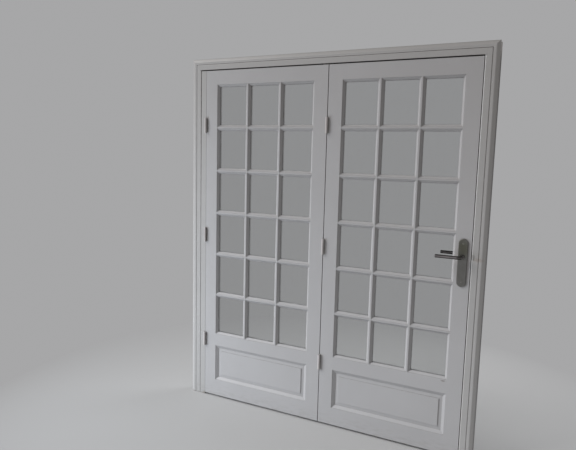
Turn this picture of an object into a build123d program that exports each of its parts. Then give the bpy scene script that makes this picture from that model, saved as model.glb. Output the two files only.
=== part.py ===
from build123d import *
import os

os.makedirs("parts", exist_ok=True)

# Driving dimensions of the two leaves, in millimetres
leaf_width = 798.0
leaf_height = 2040.0
leaf_thickness = 36.0
outer_stile_face = 79.0
meeting_stile_face = 81.0
top_rail_face = 83.0
lock_rail_face = 76.0
bottom_rail_face = 105.0
panel_face_height = 228.0
pane_columns = 3
pane_rows = 6
bar_face = 8.0
arris_radius = 1.5

# Mouldings run round every pane and, wider, round every panel
moulding_width = 12.0
panel_moulding_width = 18.0
moulding_depth = 12.0
quirk_depth = 1.5
quirk_width = 1.5
moulding_lip = 1.5

# Glass, beads and panels
rebate_cover = 9.0
glass_thickness = 4.0
glass_clearance = 1.0
bead_splay = 3.0
panel_tongue = 10.0
panel_raise = 5.0
panel_bevel = 19.0
panel_step = 3.0
panel_inset = 0.5
groove_depth = 8.0
panel_expansion = 1.0

# Mortise and tenon joints
tenon_length = 45.0
tenon_thickness = 12.0
tenon_shoulder = 16.0

# Gaps round the leaves
floor_gap = 8.0
head_gap = 5.0
hinge_gap = 1.0
meeting_gap = 3.0
latch_gap = 3.0

# Frame, packing strip and architraves
jamb_face = 35.0
frame_depth = 76.0
stop_projection = 13.0
stop_clearance = 1.5
head_housing = 8.0
strip_width = 38.0
architrave_width = 32.0
architrave_thickness = 12.0
architrave_seat = 1.0
architrave_slope_width = 17.0
architrave_slope_share = 0.75
architrave_shoulder_share = 1.0
architrave_rim_share = 0.25
groove_radius = 5.0
strip_joint_radius = 3.0
fixing_radius = 3.5
bottom_fixing_height = 300.0
fixing_spacing = 1500.0

# Hinges
bottom_hinge_inset = 368.0
top_hinge_inset = 324.0
hinge_height = 88.0
knuckle_radius = 7.0
pin_standoff = 8.0
pin_radius = 4.0
pin_clearance = 0.05
pin_end_cover = 2.0
knuckle_gap = 0.3
flap_width = 28.0
flap_thickness = 2.0
hinge_screw_pitch = 28.0

# Countersunk screws
screw_head_radius = 4.0
screw_head_depth = 2.0
screw_shank_radius = 2.0
screw_length = 26.0
screw_point = 4.0
plate_screw_length = 20.0

# Lock, spindle and latch
handle_height = 1073.0
backset = 40.0
faceplate_height = 160.0
faceplate_width = 20.0
faceplate_thickness = 3.0
faceplate_screw_pitch = 136.0
case_depth = 72.0
case_height = 100.0
case_thickness = 14.0
case_wall = 1.5
follower_radius = 8.0
follower_clearance = 0.06
tooth_width = 6.0
tooth_reach = 15.0
tooth_thickness = 8.0
spindle_size = 7.0
spindle_clearance = 0.05
spindle_end_gap = 2.0
spindle_hole_radius = 10.0
latch_throw = 11.5
latch_height = 18.0
latch_thickness = 10.0
latch_nose = 2.0
latch_tail = 19.0
latch_arm = 4.0
latch_clearance = 0.25
hook_clearance = 0.5
arm_clearance = 1.0
hook_rise = 2.0

# Lever handles and their long plates
plate_height = 245.0
plate_width = 45.0
plate_thickness = 8.0
plate_edge_radius = 3.0
plate_above_spindle = 91.0
plate_screw_inset = 25.0
bush_radius = 9.0
bush_clearance = 0.1
bush_length = 12.0
lever_projection = 60.0
lever_length = 128.0
grip_height = 17.0
grip_thickness = 11.0
grip_bend = 14.0
grip_end_radius = 3.0
socket_depth = 30.0

# Strike plate and head keep
strike_height = 90.0
strike_width = 26.0
strike_thickness = 2.0
strike_hole_margin = 2.0
strike_lip = 9.0
strike_lip_height = 24.0
strike_screw_pitch = 66.0
keep_length = 60.0
keep_width = 20.0
keep_thickness = 2.0
keep_screw_pitch = 42.0

# Flush bolts let into the meeting edge of the left leaf
bolt_radius = 4.5
bolt_clearance = 0.25
bolt_setback = 7.0
bolt_reach = 110.0
bolt_throw = 14.0
bolt_engagement = 9.0
bolt_end_gap = 2.0
bolt_chamfer = 1.0
bolt_plate_height = 150.0
bolt_plate_width = 16.0
bolt_plate_thickness = 3.0
bolt_plate_screw_inset = 12.0
pull_height = 12.0
pull_width = 7.0

# Places worked out from the sizes above
opening_width = strip_width + hinge_gap + 2 * leaf_width + meeting_gap + latch_gap
left_face = -opening_width / 2
right_face = opening_width / 2
left_leaf_edge = left_face + strip_width + hinge_gap
left_meeting_edge = left_leaf_edge + leaf_width
right_meeting_edge = left_meeting_edge + meeting_gap
right_leaf_edge = right_meeting_edge + leaf_width
frame_hinge_x = left_leaf_edge - hinge_gap / 2
fold_hinge_x = left_meeting_edge + meeting_gap / 2
leaf_front = -leaf_thickness / 2
leaf_rear = leaf_thickness / 2
pin_y = leaf_front - pin_standoff
frame_rear = leaf_front + frame_depth
stop_front = leaf_rear + stop_clearance
leaf_bottom = floor_gap
leaf_top = leaf_bottom + leaf_height
bottom_hinge_height = leaf_bottom + bottom_hinge_inset
top_hinge_height = leaf_top - top_hinge_inset
middle_hinge_height = (bottom_hinge_height + top_hinge_height) / 2
hinge_heights = (bottom_hinge_height, middle_hinge_height, top_hinge_height)
fixing_heights = (bottom_fixing_height, bottom_fixing_height + fixing_spacing)
head_bottom = leaf_top + head_gap
head_top = head_bottom + jamb_face
stop_bottom = head_bottom - stop_projection
architrave_inner = opening_width / 2 + jamb_face - architrave_seat
architrave_inner_top = head_top - architrave_seat
panel_bottom = leaf_bottom + bottom_rail_face
panel_top = panel_bottom + panel_face_height
glass_bottom = panel_top + lock_rail_face
glass_top = leaf_top - top_rail_face
glass_width = leaf_width - outer_stile_face - meeting_stile_face
pane_face_width = (glass_width - (pane_columns - 1) * bar_face) / pane_columns
pane_face_height = (glass_top - glass_bottom - (pane_rows - 1) * bar_face) / pane_rows
pane_pitch_x = pane_face_width + bar_face
pane_pitch_z = pane_face_height + bar_face
bar_width = bar_face + 2 * moulding_width
sight_width = pane_face_width - 2 * moulding_width
sight_height = pane_face_height - 2 * moulding_width
glass_depth = moulding_depth + moulding_lip
bead_depth = leaf_thickness - glass_depth - glass_thickness
architrave_slope_depth = architrave_slope_share * architrave_thickness
architrave_shoulder_radius = architrave_shoulder_share * architrave_thickness
architrave_rim_radius = architrave_rim_share * architrave_thickness
panel_sight_width = glass_width - 2 * panel_moulding_width
panel_sight_height = panel_face_height - 2 * panel_moulding_width
spindle_x = right_leaf_edge - backset
plate_centre = handle_height + plate_above_spindle - plate_height / 2
plate_screw_heights = [
    plate_centre + end * (plate_height / 2 - plate_screw_inset) for end in (-1, 1)
]
grip_y = leaf_front - lever_projection + grip_thickness / 2
bolt_x = left_meeting_edge - bolt_plate_thickness - bolt_setback
overcut = 1.0
place_tolerance = 0.01

pieces = []


def keep(piece, name):
    """Label a finished piece and put it on the list that is written out at the end."""
    piece.part.label = name
    pieces.append(piece.part)


def keep_group(members, name):
    """Put pieces of one kind that touch each other in one file, as separate solids."""
    group = Compound([solid for member in members for solid in member.part.solids()])
    group.label = name
    pieces.append(group)


def block(xs, ys, zs, mode=Mode.ADD):
    """A squared block between two values along each axis."""
    centre = [(low + high) / 2 for low, high in (xs, ys, zs)]
    size = [abs(high - low) for low, high in (xs, ys, zs)]
    with Locations(tuple(centre)):
        Box(*size, mode=mode)


def long_edges(piece, axis, places):
    """The edges along an axis that lie at the given places on the other two axes."""
    return [
        edge
        for edge in piece.edges().filter_by(axis)
        if any(
            all(
                abs(getattr(edge.center(), key) - value) < place_tolerance
                for key, value in place.items()
            )
            for place in places
        )
    ]


def fillet_long_edges(piece, axis, places, radius):
    """Round the edges that long_edges finds."""
    fillet(long_edges(piece, axis, places), radius)


def drill(places, radius, depth):
    """Round holes of one depth, which start at the places and run along their own Z."""
    with Locations(*places):
        Cylinder(radius, depth, align=(Align.CENTER, Align.CENTER, Align.MIN), mode=Mode.SUBTRACT)


# Countersunk wood screw, lying along +Z with the face of its head at the origin
def countersunk_screw(length):
    with BuildPart() as screw:
        with BuildSketch(Plane.XZ):
            Polygon(
                (0, 0),
                (screw_head_radius, 0),
                (screw_shank_radius, screw_head_depth),
                (screw_shank_radius, length - screw_point),
                (0, length),
                align=None,
            )
        revolve(axis=Axis.Z)
    return screw.part


hinge_screw = countersunk_screw(screw_length)
plate_screw = countersunk_screw(plate_screw_length)


def driven(points, direction):
    """Places for screws that start at the points and run along the direction."""
    return [Plane(origin=point, z_dir=direction).location for point in points]


def hinge_screw_points(face_x):
    """Where the screws of three hinge flaps enter an edge that lies at face_x."""
    flap_middle = leaf_front + flap_width / 2
    return [
        (face_x, flap_middle, height + row * hinge_screw_pitch)
        for height in hinge_heights
        for row in (-1, 0, 1)
    ]


# Screws that hold each body's plates and hinge flaps
strike_screw_points = [
    (right_face, 0, handle_height + end * strike_screw_pitch / 2) for end in (-1, 1)
]
keep_screw_points = [(bolt_x + end * keep_screw_pitch / 2, 0, head_bottom) for end in (-1, 1)]
with BuildPart() as frame_screws:
    with Locations(*driven(hinge_screw_points(left_leaf_edge - hinge_gap), (-1, 0, 0))):
        add(hinge_screw)
    with Locations(*driven(strike_screw_points, (1, 0, 0))):
        add(plate_screw)
    with Locations(*driven(keep_screw_points, (0, 0, 1))):
        add(plate_screw)
keep(frame_screws, "frame_screws")

bolt_plate_middles = (leaf_top - bolt_plate_height / 2, leaf_bottom + bolt_plate_height / 2)
bolt_plate_screw_reach = bolt_plate_height / 2 - bolt_plate_screw_inset
bolt_screw_points = [
    (left_meeting_edge, 0, middle + end * bolt_plate_screw_reach)
    for middle, end in ((bolt_plate_middles[0], -1), (bolt_plate_middles[1], 1))
]
with BuildPart() as left_leaf_screws:
    with Locations(*driven(hinge_screw_points(left_leaf_edge), (1, 0, 0))):
        add(hinge_screw)
    with Locations(*driven(hinge_screw_points(left_meeting_edge), (-1, 0, 0))):
        add(hinge_screw)
    with Locations(*driven(bolt_screw_points, (-1, 0, 0))):
        add(plate_screw)
keep(left_leaf_screws, "left_leaf_screws")

faceplate_screw_points = [
    (right_leaf_edge, 0, handle_height + end * faceplate_screw_pitch / 2) for end in (-1, 1)
]
with BuildPart() as right_leaf_screws:
    with Locations(*driven(hinge_screw_points(right_meeting_edge), (1, 0, 0))):
        add(hinge_screw)
    with Locations(*driven(faceplate_screw_points, (-1, 0, 0))):
        add(plate_screw)
    for side in (-1, 1):
        face = side * (leaf_rear + plate_thickness)
        points = [(spindle_x, face, height) for height in plate_screw_heights]
        with Locations(*driven(points, (0, -side, 0))):
            add(plate_screw)
keep(right_leaf_screws, "right_leaf_screws")


# Lift-off hinges: a flap let into the edge, and half of the knuckle in front of the face
def hinge_half(pin_x, gap, side, height, upper, screws):
    """The half on the side of the gap (-1 left, 1 right), with the upper or lower knuckle."""
    near = pin_x + side * gap / 2
    far = near + side * flap_thickness
    foot = height - hinge_height / 2
    top = height + hinge_height / 2
    low, high = (height + knuckle_gap / 2, top) if upper else (foot, height - knuckle_gap / 2)
    bore = pin_radius + pin_clearance if upper else pin_radius
    with BuildPart() as half:
        block((near, far), (leaf_front, leaf_front + flap_width), (foot, top))
        block((near, far), (pin_y, leaf_front), (low, high))
        with BuildSketch(Plane.XY.offset(low)):
            with Locations((pin_x, pin_y)):
                Circle(knuckle_radius)
        extrude(amount=high - low)
        with BuildSketch(Plane.XY.offset(foot)):
            with Locations((pin_x, pin_y)):
                Circle(bore)
        extrude(amount=hinge_height, mode=Mode.SUBTRACT)
        add(screws.part, mode=Mode.SUBTRACT)
    return half


hinge_kinds = (
    ("frame_hinge_strip_half", frame_hinge_x, hinge_gap, -1, False, frame_screws),
    ("frame_hinge_leaf_half", frame_hinge_x, hinge_gap, 1, True, left_leaf_screws),
    ("fold_hinge_left_half", fold_hinge_x, meeting_gap, -1, False, left_leaf_screws),
    ("fold_hinge_right_half", fold_hinge_x, meeting_gap, 1, True, right_leaf_screws),
)
hinge_halves = {}
for kind, pin_x, gap, side, upper, screws in hinge_kinds:
    hinge_halves[kind] = []
    for height, name in zip(hinge_heights, ("bottom", "middle", "top")):
        half = hinge_half(pin_x, gap, side, height, upper, screws)
        keep(half, f"{name}_{kind}")
        hinge_halves[kind].append(half.part)

for pin_x, name in ((frame_hinge_x, "frame_hinge_pins"), (fold_hinge_x, "fold_hinge_pins")):
    with BuildPart() as hinge_pins:
        with Locations(*[(pin_x, pin_y, height) for height in hinge_heights]):
            Cylinder(pin_radius, hinge_height - 2 * pin_end_cover)
    keep(hinge_pins, name)

# Packing strip: fills the hinge side of the opening, flush with the leaf in front
strip_right = left_face + strip_width
with BuildPart() as packing_strip:
    block((left_face, strip_right), (leaf_front, frame_rear), (0, stop_bottom))
    block((left_face, strip_right), (leaf_front, stop_front), (stop_bottom, leaf_top))
    strip_edge = [{"X": left_face, "Y": leaf_front}]
    fillet_long_edges(packing_strip, Axis.Z, strip_edge, strip_joint_radius)
    for half in hinge_halves["frame_hinge_strip_half"]:
        add(half, mode=Mode.SUBTRACT)
    add(frame_screws.part, mode=Mode.SUBTRACT)
    fixings = driven([(left_face, 0, height) for height in fixing_heights], (1, 0, 0))
    drill(fixings, fixing_radius, strip_width)
keep(packing_strip, "hinge_packing_strip")

# Stops planted on the strip, the latch jamb and the head, for the leaves to close against
stop_depth = (stop_front, frame_rear)
side_stops = []
for stop_x, reach in ((strip_right, stop_projection), (right_face, -stop_projection)):
    with BuildPart() as side_stop:
        block((stop_x, stop_x + reach), stop_depth, (0, stop_bottom))
        visible = [{"X": stop_x + reach, "Y": y} for y in stop_depth]
        fillet_long_edges(side_stop, Axis.Z, visible, arris_radius)
    side_stops.append(side_stop)
with BuildPart() as head_stop:
    block((left_face, right_face), stop_depth, (stop_bottom, head_bottom))
    visible = [{"Y": y, "Z": stop_bottom} for y in stop_depth]
    fillet_long_edges(head_stop, Axis.X, visible, arris_radius)
keep_group([*side_stops, head_stop], "door_stops")

# Latch bolt with its arm and hook, which reach over the follower
with BuildPart() as latch_bolt:
    with BuildSketch(Plane.XY.offset(handle_height - latch_height / 2)):
        with Locations((right_leaf_edge, 0)):
            Polygon(
                (-latch_tail, -latch_thickness / 2),
                (latch_throw, -latch_thickness / 2),
                (latch_throw, -latch_thickness / 2 + latch_nose),
                (latch_nose / 2, latch_thickness / 2),
                (-latch_tail, latch_thickness / 2),
                align=None,
            )
    extrude(amount=latch_height)
    arm_bottom = handle_height + tooth_reach + arm_clearance
    arm_top = arm_bottom + latch_arm
    hook_face = spindle_x - tooth_width / 2 - hook_clearance
    arm_half = tooth_thickness / 2
    tail_x = right_leaf_edge - latch_tail
    block((tail_x, tail_x + latch_arm), (-arm_half, arm_half), (handle_height, arm_top))
    block((hook_face - latch_arm, tail_x + latch_arm), (-arm_half, arm_half), (arm_bottom, arm_top))
    hook_bottom = handle_height + follower_radius + hook_rise
    block((hook_face - latch_arm, hook_face), (-arm_half, arm_half), (hook_bottom, arm_top))
keep(latch_bolt, "latch_bolt")

latch_slot_y = latch_thickness / 2 + latch_clearance
latch_slot_z = latch_height / 2 + latch_clearance
latch_slot = (
    (-latch_slot_y, latch_slot_y),
    (handle_height - latch_slot_z, handle_height + latch_slot_z),
)

# Faceplate with round ends, let into the edge of the lock stile
case_front = right_leaf_edge - faceplate_thickness
case_rear = case_front - case_depth
with BuildPart() as lock_faceplate:
    with BuildSketch(Plane.YZ.offset(case_front)):
        with Locations((0, handle_height)):
            SlotOverall(faceplate_height, faceplate_width, rotation=90)
    extrude(amount=faceplate_thickness)
    faceplate_envelope = lock_faceplate.part
    block((case_front, right_leaf_edge), *latch_slot, mode=Mode.SUBTRACT)
    add(right_leaf_screws.part, mode=Mode.SUBTRACT)
keep(lock_faceplate, "lock_faceplate")

# Lock case: a folded steel box with bearings for the follower
with BuildPart() as lock_case:
    half_height = case_height / 2
    half_thickness = case_thickness / 2
    block(
        (case_rear, case_front),
        (-half_thickness, half_thickness),
        (handle_height - half_height, handle_height + half_height),
    )
    case_envelope = lock_case.part
    block(
        (case_rear + case_wall, case_front - case_wall),
        (-half_thickness + case_wall, half_thickness - case_wall),
        (handle_height - half_height + case_wall, handle_height + half_height - case_wall),
        mode=Mode.SUBTRACT,
    )
    block((case_front - 2 * case_wall, case_front), *latch_slot, mode=Mode.SUBTRACT)
    with Locations(Plane(origin=(spindle_x, 0, handle_height), z_dir=(0, 1, 0)).location):
        Cylinder(follower_radius + follower_clearance, case_thickness, mode=Mode.SUBTRACT)
    add(right_leaf_screws.part, mode=Mode.SUBTRACT)
keep(lock_case, "lock_case")

# Follower: the hub that the spindle turns, with the tooth that draws the latch
with BuildPart() as follower:
    with BuildSketch(Plane.XZ):
        with Locations((spindle_x, handle_height)):
            Circle(follower_radius)
    extrude(amount=case_thickness / 2, both=True)
    block(
        (spindle_x - tooth_width / 2, spindle_x + tooth_width / 2),
        (-tooth_thickness / 2, tooth_thickness / 2),
        (handle_height + follower_radius - overcut, handle_height + tooth_reach),
    )
    with BuildSketch(Plane.XZ):
        with Locations((spindle_x, handle_height)):
            Rectangle(*[spindle_size + 2 * spindle_clearance] * 2)
    extrude(amount=case_thickness, both=True, mode=Mode.SUBTRACT)
keep(follower, "follower")

spindle_reach = leaf_rear + plate_thickness - bush_length / 2 + socket_depth - spindle_end_gap
with BuildPart() as spindle:
    with BuildSketch(Plane.XZ):
        with Locations((spindle_x, handle_height)):
            Rectangle(spindle_size, spindle_size)
    extrude(amount=spindle_reach, both=True)
keep(spindle, "spindle")

# Handle plates with round ends and softened edges
with BuildPart() as front_plate:
    with BuildSketch(Plane.XZ.offset(leaf_rear)):
        with Locations((spindle_x, plate_centre)):
            SlotOverall(plate_height, plate_width, rotation=90)
    extrude(amount=plate_thickness)
    fillet(front_plate.faces().sort_by(Axis.Y)[0].edges(), plate_edge_radius)
    with BuildSketch(Plane.XZ.offset(leaf_rear)):
        with Locations((spindle_x, handle_height)):
            Circle(bush_radius + bush_clearance)
    extrude(amount=plate_thickness, mode=Mode.SUBTRACT)
    add(right_leaf_screws.part, mode=Mode.SUBTRACT)
keep(front_plate, "front_handle_plate")
with BuildPart() as rear_plate:
    mirror(front_plate.part, about=Plane.XZ)
keep(rear_plate, "rear_handle_plate")

# Lever: a bush in the plate, a neck that comes forward, and a straight grip toward the hinges
neck_start = leaf_front - plate_thickness + bush_length / 2
with BuildPart() as front_lever:
    with BuildLine() as lever_line:
        neck = Line(
            (spindle_x, neck_start, handle_height),
            (spindle_x, grip_y + grip_bend, handle_height),
        )
        bend = TangentArc(
            neck @ 1, (spindle_x - grip_bend, grip_y, handle_height), tangent=neck % 1
        )
        Line(bend @ 1, (spindle_x - lever_length, grip_y, handle_height))
    with BuildSketch(Plane(origin=neck @ 0, x_dir=(1, 0, 0), z_dir=neck % 0)):
        Ellipse(grip_thickness / 2, grip_height / 2)
    sweep(path=lever_line.line)
    fillet(front_lever.faces().sort_by(Axis.X)[0].edges(), grip_end_radius)
    with BuildSketch(Plane.XZ.offset(-neck_start)):
        with Locations((spindle_x, handle_height)):
            Circle(bush_radius)
    extrude(amount=bush_length)
    with BuildSketch(Plane.XZ.offset(-neck_start)):
        with Locations((spindle_x, handle_height)):
            Rectangle(*[spindle_size + 2 * spindle_clearance] * 2)
    extrude(amount=socket_depth, mode=Mode.SUBTRACT)
keep(front_lever, "front_lever")
with BuildPart() as rear_lever:
    mirror(front_lever.part, about=Plane.XZ)
keep(rear_lever, "rear_lever")


# Flush bolts: a round rod with a finger pull that slides in a slotted plate
def flush_bolt(tip, inward, pull_middle):
    """A rod from its tip back into the leaf, with its finger pull at the given height."""
    tail = tip + inward * bolt_reach
    with BuildPart() as bolt:
        with BuildSketch(Plane.XY.offset(min(tip, tail))):
            with Locations((bolt_x, 0)):
                Circle(bolt_radius)
        extrude(amount=bolt_reach)
        chamfer(bolt.edges().sort_by(Axis.Z)[0 if inward > 0 else -1], bolt_chamfer)
        block(
            (bolt_x, left_meeting_edge),
            (-pull_width / 2, pull_width / 2),
            (pull_middle - pull_height / 2, pull_middle + pull_height / 2),
        )
    return bolt


top_bolt_tip = head_bottom + bolt_engagement
top_pull = top_bolt_tip - bolt_reach + pull_height / 2
top_bolt = flush_bolt(top_bolt_tip, -1, top_pull)
keep(top_bolt, "top_flush_bolt")
bottom_bolt_tip = leaf_bottom
bottom_pull = bottom_bolt_tip + bolt_reach - pull_height / 2
bottom_bolt = flush_bolt(bottom_bolt_tip, 1, bottom_pull)
keep(bottom_bolt, "bottom_flush_bolt")

# Each bolt's pull travels downward from its place at rest
pull_room = pull_height / 2 + bolt_clearance
pull_half = pull_width / 2 + bolt_clearance
pull_travel = [
    (pull - bolt_throw - pull_room, pull + pull_room) for pull in (top_pull, bottom_pull)
]
with BuildPart() as bolt_plates:
    for middle in bolt_plate_middles:
        block(
            (left_meeting_edge - bolt_plate_thickness, left_meeting_edge),
            (-bolt_plate_width / 2, bolt_plate_width / 2),
            (middle - bolt_plate_height / 2, middle + bolt_plate_height / 2),
        )
    bolt_plate_envelope = bolt_plates.part
    for travel in pull_travel:
        block(
            (left_meeting_edge - bolt_plate_thickness, left_meeting_edge),
            (-pull_half, pull_half),
            travel,
            mode=Mode.SUBTRACT,
        )
    add(left_leaf_screws.part, mode=Mode.SUBTRACT)
keep(bolt_plates, "flush_bolt_plates")

# Room in the stile for each bolt's rod and pull
bolt_bore = bolt_radius + bolt_clearance
with BuildPart() as bolt_voids:
    top_tail = top_bolt_tip - bolt_reach - bolt_throw - bolt_clearance
    bottom_tail = bottom_bolt_tip + bolt_reach + bolt_clearance
    for travel, low, high in (
        (pull_travel[0], top_tail, leaf_top),
        (pull_travel[1], leaf_bottom, bottom_tail),
    ):
        with BuildSketch(Plane.XY.offset(low)):
            with Locations((bolt_x, 0)):
                Circle(bolt_bore)
        extrude(amount=high - low)
        block((bolt_x, left_meeting_edge - bolt_plate_thickness), (-pull_half, pull_half), travel)

# Head keep that the top bolt enters
with BuildPart() as head_keep:
    block(
        (bolt_x - keep_length / 2, bolt_x + keep_length / 2),
        (-keep_width / 2, keep_width / 2),
        (head_bottom, head_bottom + keep_thickness),
    )
    keep_envelope = head_keep.part
    drill([(bolt_x, 0, head_bottom)], bolt_bore, keep_thickness)
    add(frame_screws.part, mode=Mode.SUBTRACT)
keep(head_keep, "head_bolt_keep")

# Strike plate, let into the latch jamb, with a lip on the front face for the latch to ride on
strike_mouth = latch_thickness / 2 + strike_hole_margin
strike_mouth_z = latch_height / 2 + strike_hole_margin
with BuildPart() as strike_plate:
    block(
        (right_face, right_face + strike_thickness),
        (-strike_width / 2, strike_width / 2),
        (handle_height - strike_height / 2, handle_height + strike_height / 2),
    )
    block(
        (right_face, right_face + strike_thickness),
        (leaf_front - strike_thickness, -strike_width / 2),
        (handle_height - strike_lip_height / 2, handle_height + strike_lip_height / 2),
    )
    block(
        (right_face, right_face + strike_lip),
        (leaf_front - strike_thickness, leaf_front),
        (handle_height - strike_lip_height / 2, handle_height + strike_lip_height / 2),
    )
    fillet_long_edges(
        strike_plate, Axis.Z, [{"X": right_face, "Y": leaf_front - strike_thickness}], arris_radius
    )
    strike_envelope = strike_plate.part
    block(
        (right_face, right_face + strike_thickness),
        (-strike_mouth, strike_mouth),
        (handle_height - strike_mouth_z, handle_height + strike_mouth_z),
        mode=Mode.SUBTRACT,
    )
    add(frame_screws.part, mode=Mode.SUBTRACT)
keep(strike_plate, "strike_plate")

# Shallow seats along the frame's outer edges, which the architraves are let into
with BuildPart() as architrave_seats:
    for edge, inward in ((leaf_front, 1), (frame_rear, -1)):
        seat_depth = (edge, edge + inward * architrave_thickness)
        block((left_face - jamb_face, right_face + jamb_face), seat_depth, (0, head_top))
        block(
            (-architrave_inner, architrave_inner),
            seat_depth,
            (0, architrave_inner_top),
            mode=Mode.SUBTRACT,
        )

# Head of the frame, with its ends housed in the jambs
with BuildPart() as head_jamb:
    block(
        (left_face - head_housing, right_face + head_housing),
        (leaf_front, frame_rear),
        (head_bottom, head_top),
    )
    head_envelope = head_jamb.part
    add(architrave_seats.part, mode=Mode.SUBTRACT)
    head_edges = [(head_bottom, arris_radius), (architrave_inner_top, groove_radius)]
    for height, radius in head_edges:
        fillet_long_edges(head_jamb, Axis.X, [{"Y": leaf_front, "Z": height}], radius)
    add(keep_envelope, mode=Mode.SUBTRACT)
    add(frame_screws.part, mode=Mode.SUBTRACT)
    drill([(bolt_x, 0, head_bottom)], bolt_bore, bolt_engagement + bolt_end_gap)
keep(head_jamb, "head_jamb")


def soften_jamb(jamb, face_x, face_radius, outer_x):
    """Round the visible edges of a jamb, at its face and where it meets the architraves."""
    fillet_long_edges(jamb, Axis.Z, [{"X": face_x, "Y": leaf_front}], face_radius)
    fillet_long_edges(jamb, Axis.Z, [{"X": outer_x, "Y": leaf_front}], groove_radius)
    fillet_long_edges(jamb, Axis.X, [{"Y": leaf_front, "Z": architrave_inner_top}], groove_radius)


# Left jamb: a plain post behind the packing strip
with BuildPart() as left_jamb:
    block((left_face - jamb_face, left_face), (leaf_front, frame_rear), (0, head_top))
    add(architrave_seats.part, mode=Mode.SUBTRACT)
    soften_jamb(left_jamb, left_face, strip_joint_radius, -architrave_inner)
    add(head_envelope, mode=Mode.SUBTRACT)
    fixings = driven([(left_face, 0, height) for height in fixing_heights], (-1, 0, 0))
    drill(fixings, fixing_radius, jamb_face)
keep(left_jamb, "left_jamb")

# Right jamb: the latch post, with the pocket for the latch behind the strike plate
with BuildPart() as right_jamb:
    block((right_face, right_face + jamb_face), (leaf_front, frame_rear), (0, head_top))
    add(architrave_seats.part, mode=Mode.SUBTRACT)
    soften_jamb(right_jamb, right_face, arris_radius, architrave_inner)
    add(head_envelope, mode=Mode.SUBTRACT)
    add(strike_envelope, mode=Mode.SUBTRACT)
    add(frame_screws.part, mode=Mode.SUBTRACT)
    block(
        (right_face, right_face + latch_throw + strike_hole_margin),
        (-strike_mouth, strike_mouth),
        (handle_height - strike_mouth_z, handle_height + strike_mouth_z),
        mode=Mode.SUBTRACT,
    )
    fixings = driven([(right_face, 0, height) for height in fixing_heights], (1, 0, 0))
    drill(fixings, fixing_radius, jamb_face)
keep(right_jamb, "right_jamb")


# Architraves: flush with the frame's edge, mitred at the head, on both faces of the wall
def architrave(side, face_y, inward):
    """The left (-1) or right (1) post or the head (0), with its thickness inward from the face."""
    outer = architrave_inner + architrave_width
    outer_top = architrave_inner_top + architrave_width
    if side == 0:
        corners = [
            (-architrave_inner, architrave_inner_top),
            (architrave_inner, architrave_inner_top),
            (outer, outer_top),
            (-outer, outer_top),
        ]
    else:
        corners = [
            (side * architrave_inner, 0),
            (side * architrave_inner, architrave_inner_top),
            (side * outer, outer_top),
            (side * outer, 0),
        ]
    with BuildPart() as piece:
        with BuildSketch(Plane.XZ.offset(-face_y)):
            Polygon(*corners, align=None)
        extrude(amount=-inward * architrave_thickness)
        axis, key, inner_place, outer_place, inner_way = (
            (Axis.X, "Z", architrave_inner_top, outer_top, -1)
            if side == 0
            else (Axis.Z, "X", side * architrave_inner, side * outer, -side)
        )
        fillet_long_edges(piece, axis, [{key: inner_place, "Y": face_y}], arris_radius)
        chamfer(
            long_edges(piece, axis, [{key: outer_place, "Y": face_y}]),
            architrave_slope_width,
            architrave_slope_depth,
            reference=piece.faces().filter_by(Axis.Y).sort_by(Axis.Y)[0 if inward > 0 else -1],
        )
        shoulder = {key: outer_place + inner_way * architrave_slope_width, "Y": face_y}
        rim = {key: outer_place, "Y": face_y + inward * architrave_slope_depth}
        fillet_long_edges(piece, axis, [shoulder], architrave_shoulder_radius)
        fillet_long_edges(piece, axis, [rim], architrave_rim_radius)
    return piece


for side, side_name in ((-1, "left"), (1, "right"), (0, "head")):
    keep(architrave(side, leaf_front, 1), f"front_{side_name}_architrave")
keep_group([architrave(side, frame_rear, -1) for side in (-1, 1, 0)], "rear_architraves")

# Hollow left by one pane: the moulding in front, the sight opening, and the rebate behind
front_plane = Plane.XZ.offset(leaf_rear)


def moulded_opening(face_width, face_height, width, plane):
    """A quirk, the slope of a moulding and the sight opening, in the active part."""
    quirk_plane = plane.offset(-quirk_depth)
    sight_plane = plane.offset(-moulding_depth)
    with BuildSketch(plane.offset(overcut)) as face:
        Rectangle(face_width, face_height)
    extrude(face.sketch, amount=-(overcut + quirk_depth))
    with BuildSketch(quirk_plane) as slope_start:
        Rectangle(face_width - 2 * quirk_width, face_height - 2 * quirk_width)
    with BuildSketch(sight_plane) as sight:
        Rectangle(face_width - 2 * width, face_height - 2 * width)
    loft([slope_start.sketch.face(), sight.sketch.face()])
    extrude(sight.sketch, amount=-(leaf_thickness / 2 - moulding_depth))


with BuildPart() as pane_void:
    moulded_opening(pane_face_width, pane_face_height, moulding_width, front_plane)
    with BuildSketch(front_plane.offset(-glass_depth)):
        Rectangle(sight_width + 2 * rebate_cover, sight_height + 2 * rebate_cover)
    extrude(amount=-(leaf_thickness - glass_depth + overcut))

# Hollow of the panel: moulded on both faces, with the groove for the panel's tongue between
back_plane = Plane(origin=(0, leaf_rear, 0), x_dir=(-1, 0, 0), z_dir=(0, 1, 0))
with BuildPart() as panel_void:
    for plane in (front_plane, back_plane):
        moulded_opening(glass_width, panel_face_height, panel_moulding_width, plane)
    with BuildSketch(Plane.XZ):
        Rectangle(panel_sight_width + 2 * groove_depth, panel_sight_height + 2 * groove_depth)
    extrude(amount=panel_tongue / 2, both=True)

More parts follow.
